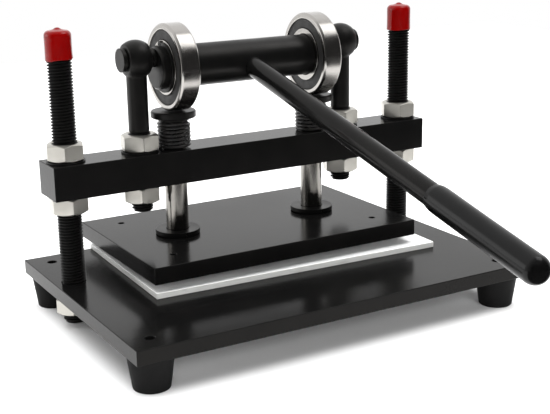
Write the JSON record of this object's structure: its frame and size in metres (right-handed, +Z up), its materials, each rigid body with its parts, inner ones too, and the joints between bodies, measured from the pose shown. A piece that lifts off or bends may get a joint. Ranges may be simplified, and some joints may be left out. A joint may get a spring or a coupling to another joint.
{
  "type": "hand cranked embossing press",
  "caption": "Bench press: a hand lever turns an eccentric shaft whose bearings push a sprung flat plate down on a board over a heavy base.",
  "frame": {"origin": "centre of the base plate's underside; the feet stand 26 mm below it", "axes": "+Z up, +X to the right along the front edge, -Y towards the person who pulls the handle"},
  "size_m": [0.36, 0.4514, 0.2457],
  "materials": {
    "black_paint": "satin black paint with broken edges",
    "black_oxide": "blackened steel, lightly oiled",
    "zinc_plate": "plated steel, satin",
    "red_vinyl": "soft glossy vinyl",
    "black_vinyl": "dipped vinyl, glossy",
    "foot_rubber": "matt",
    "white_plastic": "sawn sheet, slightly see-through",
    "bearing_steel": "ground and polished",
    "pressed_steel": "pressed",
    "seal_rubber": "matt",
    "chrome": "hard chromed and polished",
    "spring_steel": "blackened wire"
  },
  "bodies": {
    "base": {"base_plate": "black_paint", "rubber_feet": "foot_rubber", "foot_screws": "zinc_plate", "threaded_columns": "black_oxide", "base_nuts": "zinc_plate", "column_caps": "red_vinyl"},
    "board": {"cutting_board": "white_plastic"},
    "crossbeam": {"crossbeam": "black_paint", "nut_washers": "black_oxide", "upper_column_nuts": "zinc_plate", "lower_column_nuts": "zinc_plate", "eyebolts": "black_oxide", "upper_eye_nuts": "zinc_plate", "lower_eye_nuts": "zinc_plate", "left_spring": "spring_steel", "right_spring": "spring_steel"},
    "cam_shaft": {"eccentric_shaft": "black_oxide", "pin_end_discs": "black_oxide", "retaining_rings": "black_oxide", "handle_rod": "black_paint", "handle_grip": "black_vinyl", "left_inner_ring": "bearing_steel", "right_inner_ring": "bearing_steel"},
    "left_race": {"left_outer_ring": "bearing_steel", "left_seals": "seal_rubber"},
    "left_balls": {"left_ball_set": "bearing_steel", "left_ball_cage": "pressed_steel"},
    "right_race": {"right_outer_ring": "bearing_steel", "right_seals": "seal_rubber"},
    "right_balls": {"right_ball_set": "bearing_steel", "right_ball_cage": "pressed_steel"},
    "press": {"plunger_heads": "black_oxide", "guide_rods": "chrome", "shaft_collars": "black_oxide", "collar_grub_screws": "black_oxide", "press_plate": "black_paint", "press_plate_screws": "black_oxide"}
  },
  "joints": [
    {"name": "beam_height", "type": "slide", "parent": "base", "child": "crossbeam", "axis": [0, 0, 1], "range_m": [-0.005, 0.055]},
    {"name": "lever_turn", "type": "hinge", "parent": "crossbeam", "child": "cam_shaft", "pos_m": [0, 0.0445, 0.1895], "axis": [-1, 0, 0], "range_deg": [-12, 75]},
    {"name": "press_lift", "type": "slide", "parent": "crossbeam", "child": "press", "axis": [0, 0, 1], "range_m": [-0.0011, 0.0067], "stiffness_N_per_m": 4000, "springref_m": 0.016, "deforming": ["left_spring", "right_spring"]},
    {"name": "left_bearing_roll", "type": "hinge", "parent": "cam_shaft", "child": "left_race", "pos_m": [-0.0675, 0.0415, 0.18102], "axis": [1, 0, 0], "continuous": true},
    {"name": "left_balls_roll", "type": "hinge", "parent": "cam_shaft", "child": "left_balls", "pos_m": [-0.0675, 0.0415, 0.18102], "axis": [1, 0, 0], "continuous": true},
    {"name": "right_bearing_roll", "type": "hinge", "parent": "cam_shaft", "child": "right_race", "pos_m": [0.0675, 0.0415, 0.18102], "axis": [1, 0, 0], "continuous": true},
    {"name": "right_balls_roll", "type": "hinge", "parent": "cam_shaft", "child": "right_balls", "pos_m": [0.0675, 0.0415, 0.18102], "axis": [1, 0, 0], "continuous": true},
    {"name": "board_slide", "type": "slide", "parent": "base", "child": "board", "axis": [0, -1, 0], "range_m": [0, 0.2]}
  ],
  "couplings": [
    {"joint": "press_lift", "follows": "lever_turn", "m_per_rad": 0.0051},
    {"joint": "left_balls_roll", "follows": "left_bearing_roll", "ratio": 0.603},
    {"joint": "right_balls_roll", "follows": "right_bearing_roll", "ratio": 0.603}
  ]
}
